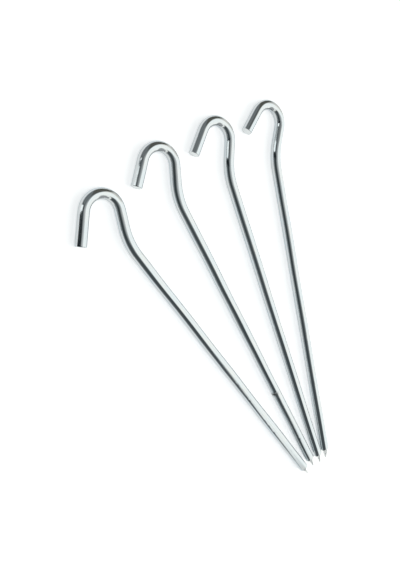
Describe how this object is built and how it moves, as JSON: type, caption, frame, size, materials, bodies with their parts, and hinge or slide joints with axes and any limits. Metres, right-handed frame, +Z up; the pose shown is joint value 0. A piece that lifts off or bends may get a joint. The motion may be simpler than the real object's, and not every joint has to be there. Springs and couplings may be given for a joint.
{
  "type": "tent stake set",
  "caption": "Hooked tent stakes of bent round steel wire, each with a ground point, a straight shank and a set-back hook for a guy line, laid side by side in a fan.",
  "frame": {"origin": "on the ground, under the middle of the set's box", "axes": "+Z up, +Y along the middle of the fan from the points towards the hooks, +X to the right"},
  "size_m": [0.1494, 0.2322, 0.006],
  "materials": {
    "zinc_plated_steel": "bright zinc plate over smooth drawn wire"
  },
  "bodies": {
    "stake_1": {"stake_1": "zinc_plated_steel"},
    "stake_2": {"stake_2": "zinc_plated_steel"},
    "stake_3": {"stake_3": "zinc_plated_steel"},
    "stake_4": {"stake_4": "zinc_plated_steel"}
  },
  "joints": [
    {"name": "stake_2_lift", "type": "slide", "parent": "stake_1", "child": "stake_2", "axis": [0, 0, 1], "range_m": [0, 0.06]},
    {"name": "stake_3_lift", "type": "slide", "parent": "stake_1", "child": "stake_3", "axis": [0, 0, 1], "range_m": [0, 0.06]},
    {"name": "stake_4_lift", "type": "slide", "parent": "stake_1", "child": "stake_4", "axis": [0, 0, 1], "range_m": [0, 0.06]}
  ]
}
